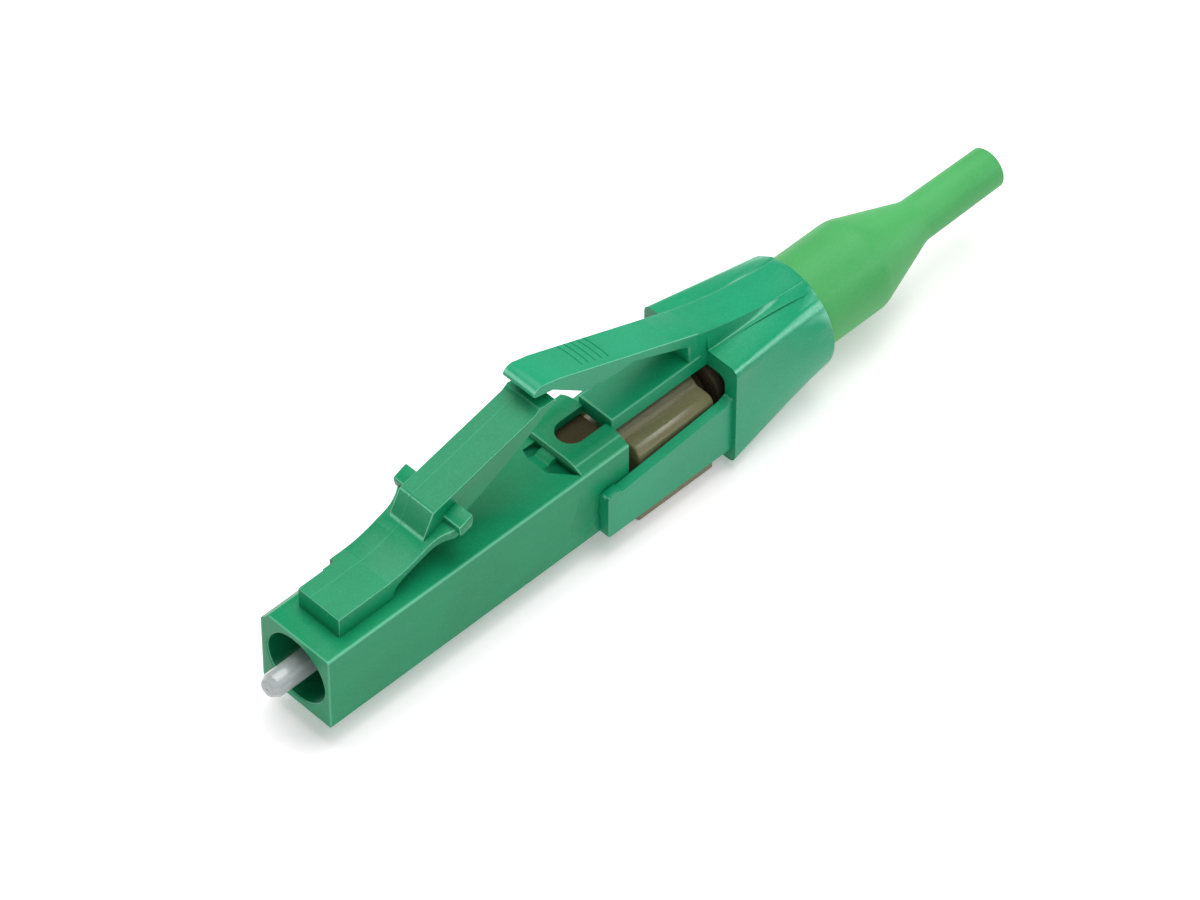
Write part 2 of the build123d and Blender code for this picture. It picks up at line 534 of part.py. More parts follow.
# holder: nose round the ferrule, flange for the spring, long barrel with a window for the splice keel
with BuildPart() as ferrule_holder:
    with BuildSketch(SIDE):
        with BuildLine():
            Polyline((NOSE_FRONT_X, FERRULE_R), (NOSE_FRONT_X, NOSE_R - NOSE_EDGE),
                     (NOSE_FRONT_X + NOSE_EDGE, NOSE_R), (SEAT_X, NOSE_R), (SEAT_X, FLANGE_R),
                     (FLANGE_REAR_X, FLANGE_R), (FLANGE_REAR_X, BARREL_R),
                     (BARREL_REAR_X, BARREL_R), (BARREL_REAR_X, SPLICE_R + SPLICE_FIT),
                     (SPLICE_FRONT_X, SPLICE_R + SPLICE_FIT), (SPLICE_FRONT_X, HOLDER_THROAT_R),
                     (FERRULE_REAR_X, HOLDER_THROAT_R), (FERRULE_REAR_X, FERRULE_R),
                     (FERRULE_GROOVE_X[1], FERRULE_R), (FERRULE_GROOVE_X[1], FERRULE_GROOVE_R),
                     (FERRULE_GROOVE_X[0], FERRULE_GROOVE_R), (FERRULE_GROOVE_X[0], FERRULE_R),
                     (NOSE_FRONT_X, FERRULE_R))
        make_face()
    revolve(axis=Axis.X)
    with Locations(((KEEL_FRONT_X + KEEL_REAR_X) / 2, 0, KEEL_TOP_Z)):
        Box(KEEL_REAR_X - KEEL_FRONT_X + 2 * KEEL_FIT, KEEL_W + KEEL_FIT, BARREL_R, mode=Mode.SUBTRACT)
ferrule_holder.part.label = "ferrule_holder"

# coil spring between the holder's flange and the retainer
with BuildPart() as spring:
    with BuildLine() as coil:
        Helix(
            pitch=(RETAINER_FRONT_X - FLANGE_REAR_X - 2 * SPRING_WIRE_R) / SPRING_TURNS,
            height=RETAINER_FRONT_X - FLANGE_REAR_X - 2 * SPRING_WIRE_R,
            radius=SPRING_MEAN_R,
            center=(FLANGE_REAR_X + SPRING_WIRE_R, 0, 0),
            direction=(1, 0, 0),
        )
    with BuildSketch(Plane(origin=coil.line @ 0, z_dir=coil.line % 0)):
        RegularPolygon(SPRING_WIRE_R, SPRING_SIDES)
    sweep()
spring.part.label = "spring"

# retainer: tube pressed into the body behind the spring, with a key seen in the notch
with BuildPart() as spring_retainer:
    with BuildSketch(SIDE):
        with BuildLine():
            Polyline((RETAINER_FRONT_X, RETAINER_LIP_R), (RETAINER_FRONT_X, RETAINER_R),
                     (RETAINER_REAR_X, RETAINER_R), (RETAINER_REAR_X, RETAINER_BORE_R),
                     (RETAINER_FRONT_X + RETAINER_LIP_LEN, RETAINER_BORE_R),
                     (RETAINER_FRONT_X + RETAINER_LIP_LEN, RETAINER_LIP_R), (RETAINER_FRONT_X, RETAINER_LIP_R))
        make_face()
    revolve(axis=Axis.X)
    with BuildSketch(Plane.XY.offset(RETAINER_BORE_R + KEY_FIT)):
        with Locations((KEY_FRONT_X + KEY_FIT, 0)):
            Rectangle(RETAINER_REAR_X - KEY_FRONT_X - KEY_FIT, 2 * (KEY_HALF - KEY_FIT),
                      align=(Align.MIN, Align.CENTER))
    extrude(amount=KEY_TOP_Z - RETAINER_BORE_R - KEY_FIT)
spring_retainer.part.label = "spring_retainer"

# splice halves: a half round above and below, meeting on the fibre's groove
with BuildPart() as splice_upper:
    with BuildSketch(off_axis_x(SPLICE_FRONT_X + SPLICE_END_FIT)):
        add(half_disc(SPLICE_R, True))
        Rectangle(2 * GROOVE, 2 * GROOVE, mode=Mode.SUBTRACT)
    extrude(amount=SPLICE_FRONT_X + SPLICE_END_FIT - SPLICE_REAR_X)
    with Locations(((KEEL_FRONT_X + KEEL_REAR_X) / 2, 0, KEEL_TOP_Z)):
        Box(KEEL_REAR_X - KEEL_FRONT_X - KEEL_FIT, KEEL_W, KEEL_W,
            align=(Align.CENTER, Align.CENTER, Align.MAX))
splice_upper.part.label = "splice_upper"

with BuildPart() as splice_lower:
    with BuildSketch(off_axis_x(SPLICE_FRONT_X + SPLICE_END_FIT)):
        add(half_disc(SPLICE_R, False))
        Rectangle(2 * GROOVE, 2 * GROOVE, mode=Mode.SUBTRACT)
    extrude(amount=SPLICE_FRONT_X + SPLICE_END_FIT - SPLICE_REAR_X)
splice_lower.part.label = "splice_lower"

# lead-in tube: funnel that brings the field fibre to the splice
with BuildPart() as lead_in_tube:
    with BuildSketch(SIDE):
        with BuildLine():
            Polyline((SPLICE_REAR_X + SPLICE_END_FIT, LEAD_THROAT_R),
                     (SPLICE_REAR_X + SPLICE_END_FIT, LEAD_R),
                     (BARREL_REAR_X, LEAD_R), (BARREL_REAR_X, LEAD_BORE_R),
                     (SPLICE_REAR_X + LEAD_FUNNEL_LEN, LEAD_BORE_R),
                     (SPLICE_REAR_X + SPLICE_END_FIT, LEAD_THROAT_R))
        make_face()
    revolve(axis=Axis.X)
lead_in_tube.part.label = "lead_in_tube"

# cam: sleeve round the holder, neck, and an off-centre lobe that reaches below the arms
with BuildPart() as cam:
    with BuildSketch(off_axis_x(CAM_BLOCK_X)):
        with Locations((0, (CAM_TOP_Z + CAM_BOTTOM_Z) / 2)):
            Rectangle(2 * CAM_HALF, CAM_TOP_Z - CAM_BOTTOM_Z)
        fillet(vertices().sort_by(Axis.Y)[-2:], CAM_TOP_R)
        fillet(vertices().sort_by(Axis.Y)[:2], CAM_EDGE_R)
    extrude(amount=CAM_BLOCK_X - CAM_REAR_X)
    front_rim = cam.edges().filter_by_position(Axis.X, CAM_BLOCK_X, CAM_BLOCK_X)
    chamfer(front_rim, CAM_NOSE_CHAMFER)
    with BuildSketch(SIDE):
        with BuildLine():
            Polyline((CAM_FRONT_X, 0), (CAM_FRONT_X, CAM_SLEEVE_R), (CAM_NECK_X, CAM_SLEEVE_R),
                     (CAM_NECK_X, CAM_NECK_R), (CAM_REAR_X, CAM_NECK_R), (CAM_REAR_X, 0), (CAM_FRONT_X, 0))
        make_face()
    revolve(axis=Axis.X)
    with Locations((CAM_FRONT_X, 0, 0)):
        Cylinder(CAM_BORE_R, CAM_REAR_X - CAM_FRONT_X, rotation=(0, 90, 0),
                 align=(Align.CENTER, Align.CENTER, Align.MIN), mode=Mode.SUBTRACT)
cam.part.label = "cam"

# crimp tube: flanged metal tube inside the boot's front
with BuildPart() as crimp_tube:
    with BuildSketch(SIDE):
        with BuildLine():
            Polyline((CRIMP_FRONT_X, CRIMP_BORE_R), (CRIMP_FRONT_X, CRIMP_FLANGE_R),
                     (CRIMP_FRONT_X + CRIMP_FLANGE_LEN, CRIMP_FLANGE_R),
                     (CRIMP_FRONT_X + CRIMP_FLANGE_LEN, CRIMP_R),
                     (CRIMP_REAR_X, CRIMP_R), (CRIMP_REAR_X, CRIMP_BORE_R), (CRIMP_FRONT_X, CRIMP_BORE_R))
        make_face()
    revolve(axis=Axis.X)
crimp_tube.part.label = "crimp_tube"

# boot: wide front, cone and a thin tail bored for the buffered fibre
with BuildPart() as boot:
    with BuildSketch(SIDE):
        with BuildLine():
            Polyline((BOOT_FRONT_X, CRIMP_R + CRIMP_FIT), (BOOT_FRONT_X, BOOT_R), (BOOT_SHOULDER_X, BOOT_R),
                     (BOOT_CONE_X, BOOT_TAIL_R), (BOOT_REAR_X, BOOT_END_R), (BOOT_REAR_X, BOOT_BORE_R),
                     (CRIMP_REAR_X + CRIMP_FIT, BOOT_BORE_R), (CRIMP_REAR_X + CRIMP_FIT, CRIMP_R + CRIMP_FIT),
                     (BOOT_FRONT_X, CRIMP_R + CRIMP_FIT))
        make_face()
    revolve(axis=Axis.X)
    rings = boot.edges().filter_by(GeomType.CIRCLE)
    fillet(rings.filter_by_position(Axis.X, BOOT_SHOULDER_X, BOOT_CONE_X), BOOT_BLEND_R)
    rings = boot.edges().filter_by(GeomType.CIRCLE)
    chamfer(rings.filter_by_position(Axis.X, BOOT_REAR_X, BOOT_REAR_X), BOOT_END_EDGE)
boot.part.label = "boot"

os.makedirs("parts", exist_ok=True)
export_step(housing.part, "parts/housing.step")
export_step(latch_lever.part, "parts/latch_lever.step")
export_step(shroud.part, "parts/shroud.step")
export_step(trigger_arm.part, "parts/trigger_arm.step")
export_step(ferrule.part, "parts/ferrule.step")
export_step(fibre_stub.part, "parts/fibre_stub.step")
export_step(ferrule_holder.part, "parts/ferrule_holder.step")
export_step(spring.part, "parts/spring.step")
export_step(spring_retainer.part, "parts/spring_retainer.step")
export_step(splice_upper.part, "parts/splice_upper.step")
export_step(splice_lower.part, "parts/splice_lower.step")
export_step(lead_in_tube.part, "parts/lead_in_tube.step")
export_step(cam.part, "parts/cam.step")
export_step(crimp_tube.part, "parts/crimp_tube.step")
export_step(boot.part, "parts/boot.step")
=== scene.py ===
import bmesh
import bpy
import math
from mathutils import Matrix, Vector


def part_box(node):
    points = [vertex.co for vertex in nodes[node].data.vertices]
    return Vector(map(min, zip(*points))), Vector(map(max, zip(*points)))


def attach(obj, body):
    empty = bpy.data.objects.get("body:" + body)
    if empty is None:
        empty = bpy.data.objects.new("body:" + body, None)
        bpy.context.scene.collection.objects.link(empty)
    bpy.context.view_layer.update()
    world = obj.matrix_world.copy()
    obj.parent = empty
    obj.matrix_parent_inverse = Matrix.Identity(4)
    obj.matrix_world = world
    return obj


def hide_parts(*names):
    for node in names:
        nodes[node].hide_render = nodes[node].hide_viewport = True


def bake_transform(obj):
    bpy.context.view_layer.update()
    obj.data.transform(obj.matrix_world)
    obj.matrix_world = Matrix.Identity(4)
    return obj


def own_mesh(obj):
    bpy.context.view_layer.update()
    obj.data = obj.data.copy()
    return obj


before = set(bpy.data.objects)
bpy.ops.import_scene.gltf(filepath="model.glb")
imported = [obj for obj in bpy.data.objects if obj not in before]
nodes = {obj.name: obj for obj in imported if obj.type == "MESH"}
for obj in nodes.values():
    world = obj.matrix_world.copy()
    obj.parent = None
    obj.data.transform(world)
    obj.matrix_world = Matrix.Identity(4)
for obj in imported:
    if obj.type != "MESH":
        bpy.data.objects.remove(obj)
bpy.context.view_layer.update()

# Plug body: one moulding in green plastic, square outside and bored through, with one
# long top edge sloped off. It leaves the tool with small soft edges, a satin-gloss skin
# and faint flow marks that run along it.
MM = 0.001


def noise(tree, vector, scale, detail=3.0, rough=0.5):
    """Adds a noise texture whose scale comes from a socket, and returns its output."""
    node = tree.nodes.new("ShaderNodeTexNoise")
    node.inputs["Detail"].default_value = detail
    node.inputs["Roughness"].default_value = rough
    tree.links.new(vector, node.inputs["Vector"])
    tree.links.new(scale, node.inputs["Scale"])
    return node.outputs["Fac"]


def math_node(tree, operation, *values, clamp=False):
    """Adds a math node on some sockets or numbers and returns its output."""
    node = tree.nodes.new("ShaderNodeMath")
    node.operation = operation
    node.use_clamp = clamp
    for socket, value in zip(node.inputs, values):
        if isinstance(value, (int, float)):
            socket.default_value = value
        else:
            tree.links.new(value, socket)
    return node.outputs[0]


FLOW_STRETCH = (0.12, 1.0, 1.0)
SQUARE_ON, TURNED_AWAY = 0.88, 0.74
PATCH_GAIN, PATCH_BASE = 1.2, 0.3


def moulded_group():
    """Masks of a moulded part: broad clouds, long flow streaks, painted highlights on rounded edges, a
    fine skin.
    """
    tree = bpy.data.node_groups.new("moulded_skin", "ShaderNodeTree")
    for label, value in (("Cloud Scale", 220.0), ("Flow Scale", 900.0), ("Grain Scale", 9000.0),
                         ("Edge Gain", 1.0)):
        socket = tree.interface.new_socket(label, in_out="INPUT", socket_type="NodeSocketFloat")
        socket.default_value = value
    for label in ("Cloud", "Flow", "Edge", "Grain"):
        tree.interface.new_socket(label, in_out="OUTPUT", socket_type="NodeSocketFloat")
    ins = tree.nodes.new("NodeGroupInput").outputs
    outs = tree.nodes.new("NodeGroupOutput").inputs
    where = tree.nodes.new("ShaderNodeTexCoord").outputs
    along = tree.nodes.new("ShaderNodeMapping")
    along.inputs["Scale"].default_value = FLOW_STRETCH
    tree.links.new(where["Object"], along.inputs["Vector"])
    cloud = noise(tree, where["Object"], ins["Cloud Scale"])
    flow = noise(tree, along.outputs["Vector"], ins["Flow Scale"], detail=4.0, rough=0.6)
    grain = noise(tree, where["Object"], ins["Grain Scale"], detail=4.0, rough=0.6)
    normal = tree.nodes.new("ShaderNodeSeparateXYZ")
    tree.links.new(where["Normal"], normal.inputs["Vector"])
    # Rounded edges, where the normal leans between the axes, get a painted highlight, speckled by the
    # grain.
    squarest = 0.0
    for axis in "XYZ":
        facing = math_node(tree, "ABSOLUTE", normal.outputs[axis])
        squarest = math_node(tree, "MAXIMUM", facing, squarest)
    edge = tree.nodes.new("ShaderNodeMapRange")
    edge.inputs["From Min"].default_value = SQUARE_ON
    edge.inputs["From Max"].default_value = TURNED_AWAY
    tree.links.new(squarest, edge.inputs["Value"])
    highlight_share = math_node(tree, "MULTIPLY", edge.outputs["Result"], ins["Edge Gain"])
    patchy = math_node(tree, "MULTIPLY_ADD", grain, PATCH_GAIN, PATCH_BASE)
    edge_highlight = math_node(tree, "MULTIPLY", highlight_share, patchy, clamp=True)
    for label, mask in (("Cloud", cloud), ("Flow", flow), ("Edge", edge_highlight), ("Grain", grain)):
        tree.links.new(mask, outs[label])
    return tree


MOULDED = moulded_group()


def mix_colour(mat, fac, a, b):
    """Mixes two colours or sockets by a mask in a material and returns the result socket."""
    node = mat.node_tree.nodes.new("ShaderNodeMix")
    node.data_type = "RGBA"
    mat.node_tree.links.new(fac, node.inputs["Factor"])
    for socket, value in ((node.inputs["A"], a), (node.inputs["B"], b)):
        if isinstance(value, tuple):
            socket.default_value = value
        else:
            mat.node_tree.links.new(value, socket)
    return node.outputs["Result"]


def span(mat, value, low, high, to_low, to_high):
    """Maps a mask onto a range in a material and returns the socket."""
    node = mat.node_tree.nodes.new("ShaderNodeMapRange")
    for label, number in (("From Min", low), ("From Max", high), ("To Min", to_low), ("To Max", to_high)):
        node.inputs[label].default_value = number
    mat.node_tree.links.new(value, node.inputs["Value"])
    return node.outputs["Result"]


MOTTLE, HIGHLIGHT_LIFT = 0.16, 0.13
SMOOTHER, ROUGHER = 0.03, 0.05
GRAIN_DEPTH = 0.01 * MM


def surface(name, colour, deep, pale, rough, grain, flow=0.10, edge=0.9, specular=0.22):
    """Clouded colour with flow streaks, paler painted highlights on rounded edges and a fine grain."""
    mat = bpy.data.materials.new(name)
    mat.use_nodes = True
    tree = mat.node_tree
    shader = tree.nodes["Principled BSDF"]
    shader.inputs["Specular IOR Level"].default_value = specular
    skin = tree.nodes.new("ShaderNodeGroup")
    skin.node_tree = MOULDED
    skin.inputs["Edge Gain"].default_value = edge
    masks = skin.outputs
    clouded = mix_colour(mat, span(mat, masks["Cloud"], 0.35, 0.65, 0.0, 1.0), deep, colour)
    streaked = mix_colour(mat, span(mat, masks["Flow"], 0.50, 0.80, 0.0, flow), clouded, pale)
    mottled = mix_colour(mat, span(mat, masks["Grain"], 0.45, 0.65, 0.0, MOTTLE), streaked, pale)
    # The painted highlight on rounded edges is paler still than the pale tone.
    edge_highlight = tuple(channel + HIGHLIGHT_LIFT for channel in pale[:3]) + (1,)
    tree.links.new(mix_colour(mat, masks["Edge"], mottled, edge_highlight), shader.inputs["Base Color"])
    satin = span(mat, masks["Cloud"], 0.3, 0.7, rough - SMOOTHER, rough + ROUGHER)
    tree.links.new(satin, shader.inputs["Roughness"])
    bump = tree.nodes.new("ShaderNodeBump")
    bump.inputs["Strength"].default_value = grain
    bump.inputs["Distance"].default_value = GRAIN_DEPTH
    tree.links.new(masks["Grain"], bump.inputs["Height"])
    tree.links.new(bump.outputs["Normal"], shader.inputs["Normal"])
    return mat


def overlay(mat, mask, colour, strength=1.0):
    """Lays a colour over a material's own by a mask."""
    base = mat.node_tree.nodes["Principled BSDF"].inputs["Base Color"]
    share = math_node(mat.node_tree, "MULTIPLY", mask, strength)
    mat.node_tree.links.new(mix_colour(mat, share, base.links[0].from_socket, colour), base)


def place(mat):
    """Where on the plug a point is: the back, across and up sockets in metres."""
    where = mat.node_tree.nodes.new("ShaderNodeTexCoord")
    split = mat.node_tree.nodes.new("ShaderNodeSeparateXYZ")
    mat.node_tree.links.new(where.outputs["Object"], split.inputs["Vector"])
    return split.outputs["X"], split.outputs["Y"], split.outputs["Z"]


def within(mat, *limits):
    """A mask from (socket, outside, inside) limits in mm.

    It is one where every socket is past its inside limit and fades out towards the outside one.
    """
    mask = 1.0
    for socket, outside, inside in limits:
        share = span(mat, socket, outside * MM, inside * MM, 0.0, 1.0)
        mask = math_node(mat.node_tree, "MULTIPLY", share, mask)
    return mask


def finish(obj, mat, body, slot, *stands_for):
    """Gives a piece its material and its body, and hides the nodes that it stands for; the slot is not
    used.
    """
    obj.data.materials.clear()
    obj.data.materials.append(mat)
    if body:
        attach(obj, body)
    if stands_for:
        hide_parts(*stands_for)


def from_bmesh(name, bm):
    """Turns a bmesh into a shown object with smooth shading."""
    mesh = bpy.data.meshes.new(name)
    bm.to_mesh(mesh)
    bm.free()
    mesh.shade_smooth()
    obj = bpy.data.objects.new(name, mesh)
    bpy.context.scene.collection.objects.link(obj)
    return obj


WELD = 0.0005 * MM
FLAT_ANGLE = math.radians(1.2)


def solid_of(name):
    """The welded surface of a node as a bmesh, its flat faces merged back into whole ones."""
    bm = bmesh.new()
    bm.from_mesh(nodes[name].data)
    bmesh.ops.transform(bm, matrix=nodes[name].matrix_world, verts=bm.verts)
    bmesh.ops.remove_doubles(bm, verts=bm.verts, dist=WELD)
    bmesh.ops.dissolve_limit(bm, angle_limit=FLAT_ANGLE, verts=bm.verts, edges=bm.edges)
    return bm


def round_edges(obj, width, segments=2, angle=50.0):
    """Rounds every edge sharper than the angle, as the mould's own radii do."""
    bevel = obj.modifiers.new("radii", "BEVEL")
    bevel.width = width
    bevel.segments = segments
    bevel.limit_method = "ANGLE"
    bevel.angle_limit = math.radians(angle)
    bevel.miter_outer = "MITER_ARC"
    return obj


def evened(obj):
    """Weights the shading normals by face size, so that flats shade flat up to their rounded edges."""
    even = obj.modifiers.new("even", "WEIGHTED_NORMAL")
    even.keep_sharp = True
    return obj


GREEN = (0.002, 0.244, 0.100, 1)
GREEN_DEEP = (0.001, 0.208, 0.082, 1)
GREEN_PALE = (0.040, 0.380, 0.205, 1)
# The next three are a painted edge highlight, painted shade in the bore and painted shade in the pocket.
HIGHLIGHT_COLOUR = (0.130, 0.500, 0.300, 1)
BORE_SHADE = (0.001, 0.080, 0.032, 1)
POCKET_SHADE = (0.001, 0.130, 0.055, 1)
body_plastic = surface("body_plastic", GREEN, GREEN_DEEP, GREEN_PALE,
                       rough=0.36, grain=0.30, specular=0.18)
body_tree = body_plastic.node_tree
back_way, across, height = place(body_plastic)
sideways = math_node(body_tree, "ABSOLUTE", across)
outermost = math_node(body_tree, "MAXIMUM", sideways, height)
squares = [math_node(body_tree, "MULTIPLY", way, way) for way in (across, height)]
radius = math_node(body_tree, "SQRT", math_node(body_tree, "ADD", *squares))
CROWN_HIP = 1.66
off_hip = math_node(body_tree, "ABSOLUTE", math_node(body_tree, "ADD", across, CROWN_HIP * MM))

# Each limit gives the place in mm where its mask ends and then the place where it is full.
long_edge_highlight = within(body_plastic, (across, -2.10, -2.20), (height, 2.10, 2.20))
mouth_rim_highlight = within(body_plastic, (back_way, 0.09, 0.03), (outermost, 2.14, 2.21))
bore_shade = within(body_plastic, (radius, 1.88, 1.80))
pocket_shade = within(body_plastic, (height, 2.22, 2.12), (height, 1.7, 1.8), (back_way, 10.0, 10.5),
                (across, -2.12, -2.04), (sideways, 0.43, 0.50))
far_slope = within(body_plastic, (across, 1.62, 1.70), (height, 1.62, 1.70))
crown_step_highlight = within(body_plastic, (back_way, 15.65, 15.75), (back_way, 15.96, 15.88),
                    (height, 2.28, 2.34))
crown_hip_highlight = within(body_plastic, (off_hip, 0.07, 0.02), (height, 2.30, 2.36))
# Painted highlights along the near long top edge and round the mouth's outer rim.
overlay(body_plastic, long_edge_highlight, HIGHLIGHT_COLOUR, 0.75)
overlay(body_plastic, mouth_rim_highlight, HIGHLIGHT_COLOUR, 0.45)
# Painted shade inside the bore.
overlay(body_plastic, bore_shade, BORE_SHADE)
# Painted shade on the pocket's sides, not on its middle ramp.
overlay(body_plastic, pocket_shade, POCKET_SHADE)
overlay(body_plastic, far_slope, GREEN, 0.85)
# Painted highlights along the crown's front step and along its hip.
overlay(body_plastic, crown_step_highlight, HIGHLIGHT_COLOUR, 0.6)
overlay(body_plastic, crown_hip_highlight, HIGHLIGHT_COLOUR, 0.5)

# The block on the body's top stands a little inside the latch's skin, which shows instead.
BODY_EDGE = 0.07 * MM
BODY_TOP, BLOCK_END = 2.3, 6.0
BLOCK_MIDDLE, BLOCK_TUCK, BLOCK_TOP = 3.20, 0.94, 3.15
housing = from_bmesh("plug_body", solid_of("housing"))
for vertex in housing.data.vertices:
    x, y, z = vertex.co / MM
    if x < BLOCK_END and z > BODY_TOP:
        x = BLOCK_MIDDLE + (x - BLOCK_MIDDLE) * BLOCK_TUCK
        vertex.co = Vector((x, y * BLOCK_TUCK, min(z, BLOCK_TOP))) * MM
evened(round_edges(housing, BODY_EDGE))
finish(housing, body_plastic, "plug", "green_plastic", "housing")

# Latch: moulded in one with the body. The block on the body's top runs on into a thin
# root that bends when pressed, then the ramp, two lugs and the long arm with its curled
# tail. This skin covers the block too, so that no joint line shows.
SKIN = 0.015
BLOCK_FRONT, BLOCK_HALF = 1.40, 1.48
RAMP_HALF, RAMP_END = 1.88, 9.02
ARM_HALF, LUG_HALF = 1.125, 2.20
BLOCK_LOW, BLOCK_HIGH, CUTTER_HALF = 2.0, 5.5, 3.0
BLOCK_EDGE, ARM_EDGE, LUG_EDGE = 0.09 * MM, 0.08 * MM, 0.10 * MM
FAR_STEPS = ((2.95, 1.16), (3.60, 1.22))
STEP_FRONT, STEP_OUT, STEP_LOW, STEP_HIGH = 1.0, 2.0, 1.9, 4.0
ROOT_CUTS = (5.0, 5.12, 5.24, 5.36, 5.48, 5.6, 5.75, 5.9)
SHARP = math.radians(50)
CUT_REACH = 1e-7


def arc(start, middle, end, count):
    """Points on the circle through three points, from the first up to the last."""
    (ax, ay), (bx, by), (cx, cy) = start, middle, end
    twice = 2 * (ax * (by - cy) + bx * (cy - ay) + cx * (ay - by))
    a2, b2, c2 = ax * ax + ay * ay, bx * bx + by * by, cx * cx + cy * cy
    ux = (a2 * (by - cy) + b2 * (cy - ay) + c2 * (ay - by)) / twice
    uy = (a2 * (cx - bx) + b2 * (ax - cx) + c2 * (bx - ax)) / twice
    radius = math.hypot(ax - ux, ay - uy)
    first = math.atan2(ay - uy, ax - ux)
    turns = [math.remainder(math.atan2(y - uy, x - ux) - first, 2 * math.pi) for x, y in (middle, end)]
    sweep = turns[1] if turns[0] * turns[1] > 0 else turns[1] - math.copysign(2 * math.pi, turns[1])
    angles = [first + sweep * i / count for i in range(count + 1)]
    return [(ux + radius * math.cos(angle), uy + radius * math.sin(angle)) for angle in angles]


def prism(name, outline, low, high, upright=False):
    """A closed extrusion of an outline in mm.

    A side outline (back, up) is extruded across, and a plan outline (back, across) upwards.
    """
    bm = bmesh.new()
    rings = [[bm.verts.new((u * MM, v * MM, level * MM) if upright else (u * MM, level * MM, v * MM))
              for u, v in outline] for level in (low, high)]
    bm.faces.new(rings[0])
    bm.faces.new(rings[1])
    for i in range(len(outline)):
        j = (i + 1) % len(outline)
        bm.faces.new((rings[0][i], rings[0][j], rings[1][j], rings[1][i]))
    bmesh.ops.recalc_face_normals(bm, faces=bm.faces)
    return from_bmesh(name, bm)


def settle(obj):
    """Applies a piece's modifiers to its mesh."""
    bpy.context.view_layer.update()
    mesh = bpy.data.meshes.new_from_object(obj.evaluated_get(bpy.context.evaluated_depsgraph_get()))
    obj.modifiers.clear()
    obj.data = mesh
    return obj


def combine(obj, other, operation):
    """Unites, intersects or cuts a piece with another, which is used up."""
    step = obj.modifiers.new("combine", "BOOLEAN")
    step.operation = operation
    step.solver = "EXACT"
    step.object = other
    settle(obj)
    bpy.data.objects.remove(other)


def sliced(obj, places):
    """Cuts a mesh across at some places along its length, where a bend would need edges, and shades it
    smooth with sharp edges kept.
    """
    bm = bmesh.new()
    bm.from_mesh(obj.data)
    for x in places:
        bmesh.ops.bisect_plane(bm, geom=bm.verts[:] + bm.edges[:] + bm.faces[:], dist=CUT_REACH,
                               plane_co=(x * MM, 0, 0), plane_no=(1, 0, 0))
    bm.to_mesh(obj.data)
    bm.free()
    obj.data.shade_smooth()
    obj.data.set_sharp_from_angle(angle=SHARP)
    settle(evened(obj))


gusset = arc((6.95, BLOCK_HALF), (7.575, 1.583), (8.14, RAMP_HALF), 6)
half_plan = ([(BLOCK_FRONT - SKIN, BLOCK_HALF + SKIN)] + [(x, y + SKIN) for x, y in gusset]
             + [(RAMP_END, RAMP_HALF + SKIN)])
block_plan = [(x, -y) for x, y in half_plan] + half_plan[::-1]
root_front = [(1.30, 2.20), (1.30, 3.40 + SKIN)]
root_top = arc((4.40, 3.45), (5.42, 3.573), (6.40, 3.87), 18) + [(RAMP_END, 4.78)]
root_under = (arc((8.98, 4.05), (6.96, 3.61), (5.24, 3.02), 10)
              + [(5.06, 2.925), (4.89, 2.79), (4.79, 2.57), (4.73, 2.33), (4.71, 2.20)])
arm_top = [(6.75, 3.80), (7.00, 4.32), (7.54, 5.36), (7.70, 5.46), (13.95, 7.04)]
arm_tail = [(14.30, 7.31), (14.48, 7.26), (15.12, 7.22), (15.30, 7.04)]
arm_under = arc((14.70, 6.78), (11.68, 4.95), (9.20, 3.86), 12)
lug_side = [(8.14, 4.78), (8.98, 5.14), (9.04, 4.72), (8.96, 4.36), (8.24, 4.20)]
latch = prism("latch_arm", block_plan, BLOCK_LOW, BLOCK_HIGH, upright=True)
root = prism("root_side", root_front + root_top + root_under, -CUTTER_HALF, CUTTER_HALF)
combine(latch, root, "INTERSECT")
settle(round_edges(latch, BLOCK_EDGE, segments=3, angle=60.0))
for step_x, step_y in FAR_STEPS:
    x, y = step_x - SKIN, step_y + SKIN
    step_plan = [(STEP_FRONT, y), (x, y), (x, STEP_OUT), (STEP_FRONT, STEP_OUT)]
    combine(latch, prism("step", step_plan, STEP_LOW, STEP_HIGH, upright=True), "DIFFERENCE")
arm = prism("arm_side", arm_top + arm_tail + arm_under, -ARM_HALF, ARM_HALF)
lugs = prism("lug_side", lug_side, -LUG_HALF, LUG_HALF)
combine(latch, settle(round_edges(arm, ARM_EDGE, segments=3)), "UNION")
combine(latch, settle(round_edges(lugs, LUG_EDGE, segments=3)), "UNION")
sliced(latch, ROOT_CUTS)

# The mould's parting line runs along the arm as a faint ridge: a dark line of painted shade with a pale
# line of painted highlight beside it.
latch_plastic = surface("latch_plastic", GREEN, GREEN_DEEP, GREEN_PALE, rough=0.34, grain=0.30)
across = place(latch_plastic)[1]
for line, colour, depth in ((0.36, GREEN_DEEP, 0.5), (0.41, GREEN_PALE, 0.3)):
    off = math_node(latch_plastic.node_tree, "SUBTRACT", across, line * MM)
    distance = math_node(latch_plastic.node_tree, "ABSOLUTE", off)
    overlay(latch_plastic, within(latch_plastic, (distance, 0.05, 0.01)), colour, depth)
finish(latch, latch_plastic, None, "latch_plastic", "latch_lever")
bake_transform(latch)

